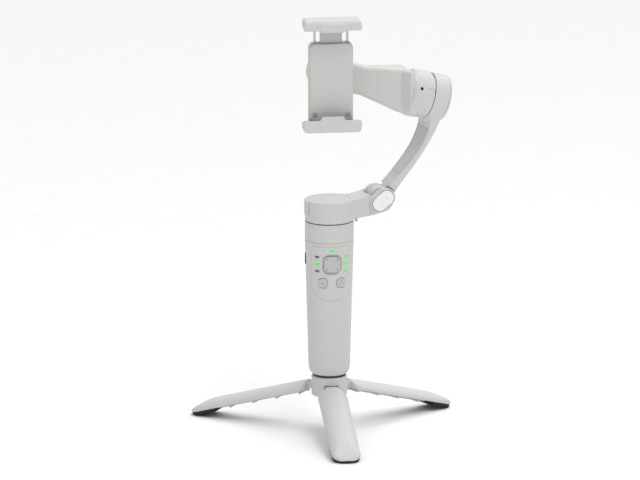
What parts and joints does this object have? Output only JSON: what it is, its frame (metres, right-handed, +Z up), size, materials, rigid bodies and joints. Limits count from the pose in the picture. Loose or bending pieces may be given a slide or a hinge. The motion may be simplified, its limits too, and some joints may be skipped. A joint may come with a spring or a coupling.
{
  "type": "phone gimbal stabilizer",
  "caption": "Handheld phone gimbal with pan, tilt and roll motors, a folding arm, a sprung phone clamp, a control panel and a folding table tripod.",
  "frame": {"origin": "on the table, straight under the grip's axis", "axes": "+Z up along the grip; the control panel and the clamp face -Y; the arm leaves to +X"},
  "size_m": [0.2022, 0.1775, 0.3241],
  "materials": {
    "shell": "fine matte light warm grey",
    "cover": "fine matte light grey",
    "button": "smooth white",
    "keys": "smooth light grey",
    "pad": "soft grey rubber",
    "foot": "black rubber",
    "steel": "machined",
    "brass": "turned",
    "inner": "black moulded plastic",
    "board": "green circuit board",
    "cell": "blue shrink sleeve",
    "winding": "enamelled copper",
    "led_lit": "lit green lens",
    "led_dark": "unlit smoky lens"
  },
  "bodies": {
    "base": {"tripod_hub": "shell", "tripod_stud": "steel", "hub_washer": "pad", "leg_pins": "steel", "grip_front_shell": "shell", "grip_rear_shell": "shell", "base_plug": "inner", "thread_insert": "brass", "chassis": "inner", "battery_cell": "cell", "main_board": "board", "panel_board": "board", "control_panel": "shell", "lit_leds": "led_lit", "dark_leds": "led_dark", "joystick_base": "inner", "usb_port": "inner", "grip_screws": "steel", "pan_collar": "shell", "pan_stator": "winding", "pan_bearings": "steel"},
    "leg_1": {"leg_1": "shell", "foot_pad_1": "foot"},
    "leg_2": {"leg_2": "shell", "foot_pad_2": "foot"},
    "leg_3": {"leg_3": "shell", "foot_pad_3": "foot"},
    "joystick_yoke": {"joystick_yoke": "steel"},
    "joystick": {"joystick_cap": "keys"},
    "mode_button": {"mode_button": "keys"},
    "power_button": {"power_button": "keys"},
    "lower_arm": {"pan_bell": "steel", "lower_arm": "shell", "pan_cap_cover": "shell", "pan_stop_pin": "steel", "hinge_pin": "steel", "hinge_spring": "steel"},
    "hinge_button": {"hinge_button": "button"},
    "upper_arm": {"upper_arm": "shell", "upper_arm_cover": "cover", "tilt_end_cap": "shell", "tilt_stator": "winding", "tilt_bearings": "steel"},
    "bracket": {"tilt_bell": "steel", "tilt_bracket": "shell", "bracket_screw": "inner", "roll_stator": "winding", "roll_bearings": "steel", "roll_back_cover": "shell"},
    "clamp": {"roll_bell": "steel", "clamp_body": "shell", "clamp_front_plate": "cover", "lower_jaw_pad": "pad", "clamp_screws": "steel"},
    "upper_jaw": {"upper_jaw": "shell", "upper_jaw_pad": "pad", "guide_rods": "steel", "jaw_springs": "steel"}
  },
  "joints": [
    {"name": "leg_1_fold", "type": "hinge", "parent": "base", "child": "leg_1", "pos_m": [0, -0.0082, 0.03285], "axis": [1, 0, 0], "range_deg": [0, 68]},
    {"name": "leg_2_fold", "type": "hinge", "parent": "base", "child": "leg_2", "pos_m": [0.0071, 0.0041, 0.03285], "axis": [-0.5, 0.866, 0], "range_deg": [0, 68]},
    {"name": "leg_3_fold", "type": "hinge", "parent": "base", "child": "leg_3", "pos_m": [-0.0071, 0.0041, 0.03285], "axis": [-0.5, -0.866, 0], "range_deg": [0, 68]},
    {"name": "pan", "type": "hinge", "parent": "base", "child": "lower_arm", "pos_m": [0, 0, 0.164], "axis": [0, 0, 1], "range_deg": [-160, 160]},
    {"name": "arm_fold", "type": "hinge", "parent": "lower_arm", "child": "upper_arm", "pos_m": [0.03864, 0.00821, 0.178], "axis": [-0.2079, 0.9781, 0], "range_deg": [0, 112]},
    {"name": "hinge_release", "type": "slide", "parent": "lower_arm", "child": "hinge_button", "axis": [-0.2079, 0.9781, 0], "range_m": [0, 0.001], "stiffness_N_per_m": 400},
    {"name": "tilt", "type": "hinge", "parent": "upper_arm", "child": "bracket", "pos_m": [0.07727, 0.01642, 0.25533], "axis": [0.9448, 0.2008, -0.2588], "range_deg": [-60, 60]},
    {"name": "roll", "type": "hinge", "parent": "bracket", "child": "clamp", "pos_m": [0, 0, 0.2765], "axis": [0, 1, 0], "range_deg": [-60, 60]},
    {"name": "jaw_slide", "type": "slide", "parent": "clamp", "child": "upper_jaw", "axis": [0, 0, 1], "range_m": [-0.012, 0.018]},
    {"name": "joystick_up_down", "type": "hinge", "parent": "base", "child": "joystick_yoke", "pos_m": [0, -0.0129, 0.1324], "axis": [1, 0, 0], "range_deg": [-8, 8], "stiffness_Nm_per_rad": 0.03},
    {"name": "joystick_left_right", "type": "hinge", "parent": "joystick_yoke", "child": "joystick", "pos_m": [0, -0.0129, 0.1324], "axis": [0, 0, 1], "range_deg": [-8, 8], "stiffness_Nm_per_rad": 0.03},
    {"name": "mode_button_press", "type": "slide", "parent": "base", "child": "mode_button", "axis": [0, 1, 0], "range_m": [0, 0.0006], "stiffness_N_per_m": 500},
    {"name": "power_button_press", "type": "slide", "parent": "base", "child": "power_button", "axis": [0, 1, 0], "range_m": [0, 0.0006], "stiffness_N_per_m": 500}
  ]
}
